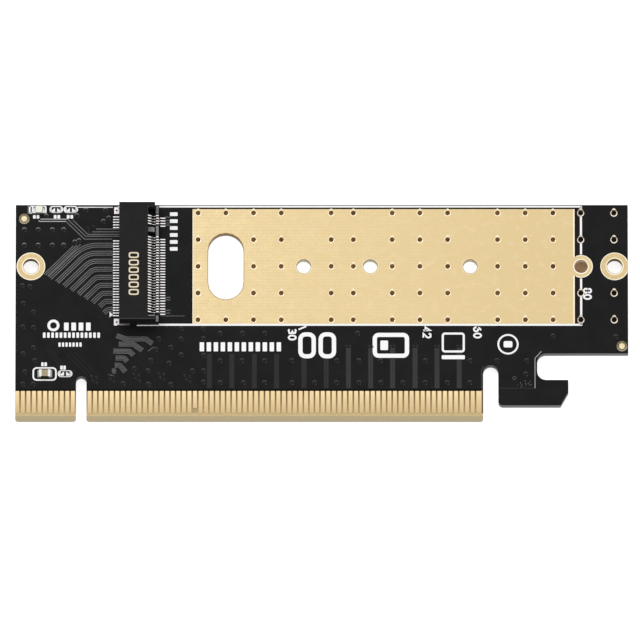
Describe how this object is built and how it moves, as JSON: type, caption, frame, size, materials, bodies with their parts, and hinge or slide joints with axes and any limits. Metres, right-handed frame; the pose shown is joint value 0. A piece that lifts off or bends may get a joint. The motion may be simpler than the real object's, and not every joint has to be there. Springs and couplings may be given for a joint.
{
  "type": "nvme adapter card",
  "caption": "Flat black adapter board with a bevelled gold edge tongue, retention hook, low module socket, slotted gold heat pad and mounting holes.",
  "frame": {"origin": "centre of the board's outline on the rear face that it lies on", "axes": "+X along the board from the key notch to the hook, +Y from the edge contacts to the top edge, +Z out of the component side"},
  "size_m": [0.1104, 0.0402, 0.0057],
  "materials": {
    "solder_mask": "black solder mask over glass-fibre laminate",
    "gold_plating": "gold-plated copper",
    "socket_plastic": "fine moulded",
    "tinned_metal": "tinned",
    "led_carrier": "pale laminate",
    "led_resin": "milky resin",
    "capacitor_ceramic": "fired ceramic",
    "resistor_glaze": "black glaze"
  },
  "bodies": {
    "root": {"circuit_board": "solder_mask", "front_edge_contacts": "gold_plating", "rear_edge_contacts": "gold_plating", "heat_pad": "gold_plating", "via_rings": "gold_plating", "left_mount_plating": "gold_plating", "right_mount_plating": "gold_plating", "fiducial_marks": "gold_plating", "socket_housing": "socket_plastic", "socket_upper_contacts": "tinned_metal", "socket_lower_contacts": "tinned_metal", "socket_top_hold_down": "tinned_metal", "socket_bottom_hold_down": "tinned_metal", "led_base": "led_carrier", "led_terminals": "gold_plating", "led_lens": "led_resin", "capacitor_body": "capacitor_ceramic", "capacitor_terminals": "tinned_metal", "component_solder": "tinned_metal", "resistor_near_slot_body": "resistor_glaze", "resistor_near_slot_terminals": "tinned_metal", "resistor_beside_led_body": "resistor_glaze", "resistor_beside_led_terminals": "tinned_metal", "resistor_middle_body": "resistor_glaze", "resistor_middle_terminals": "tinned_metal"}
  },
  "joints": []
}
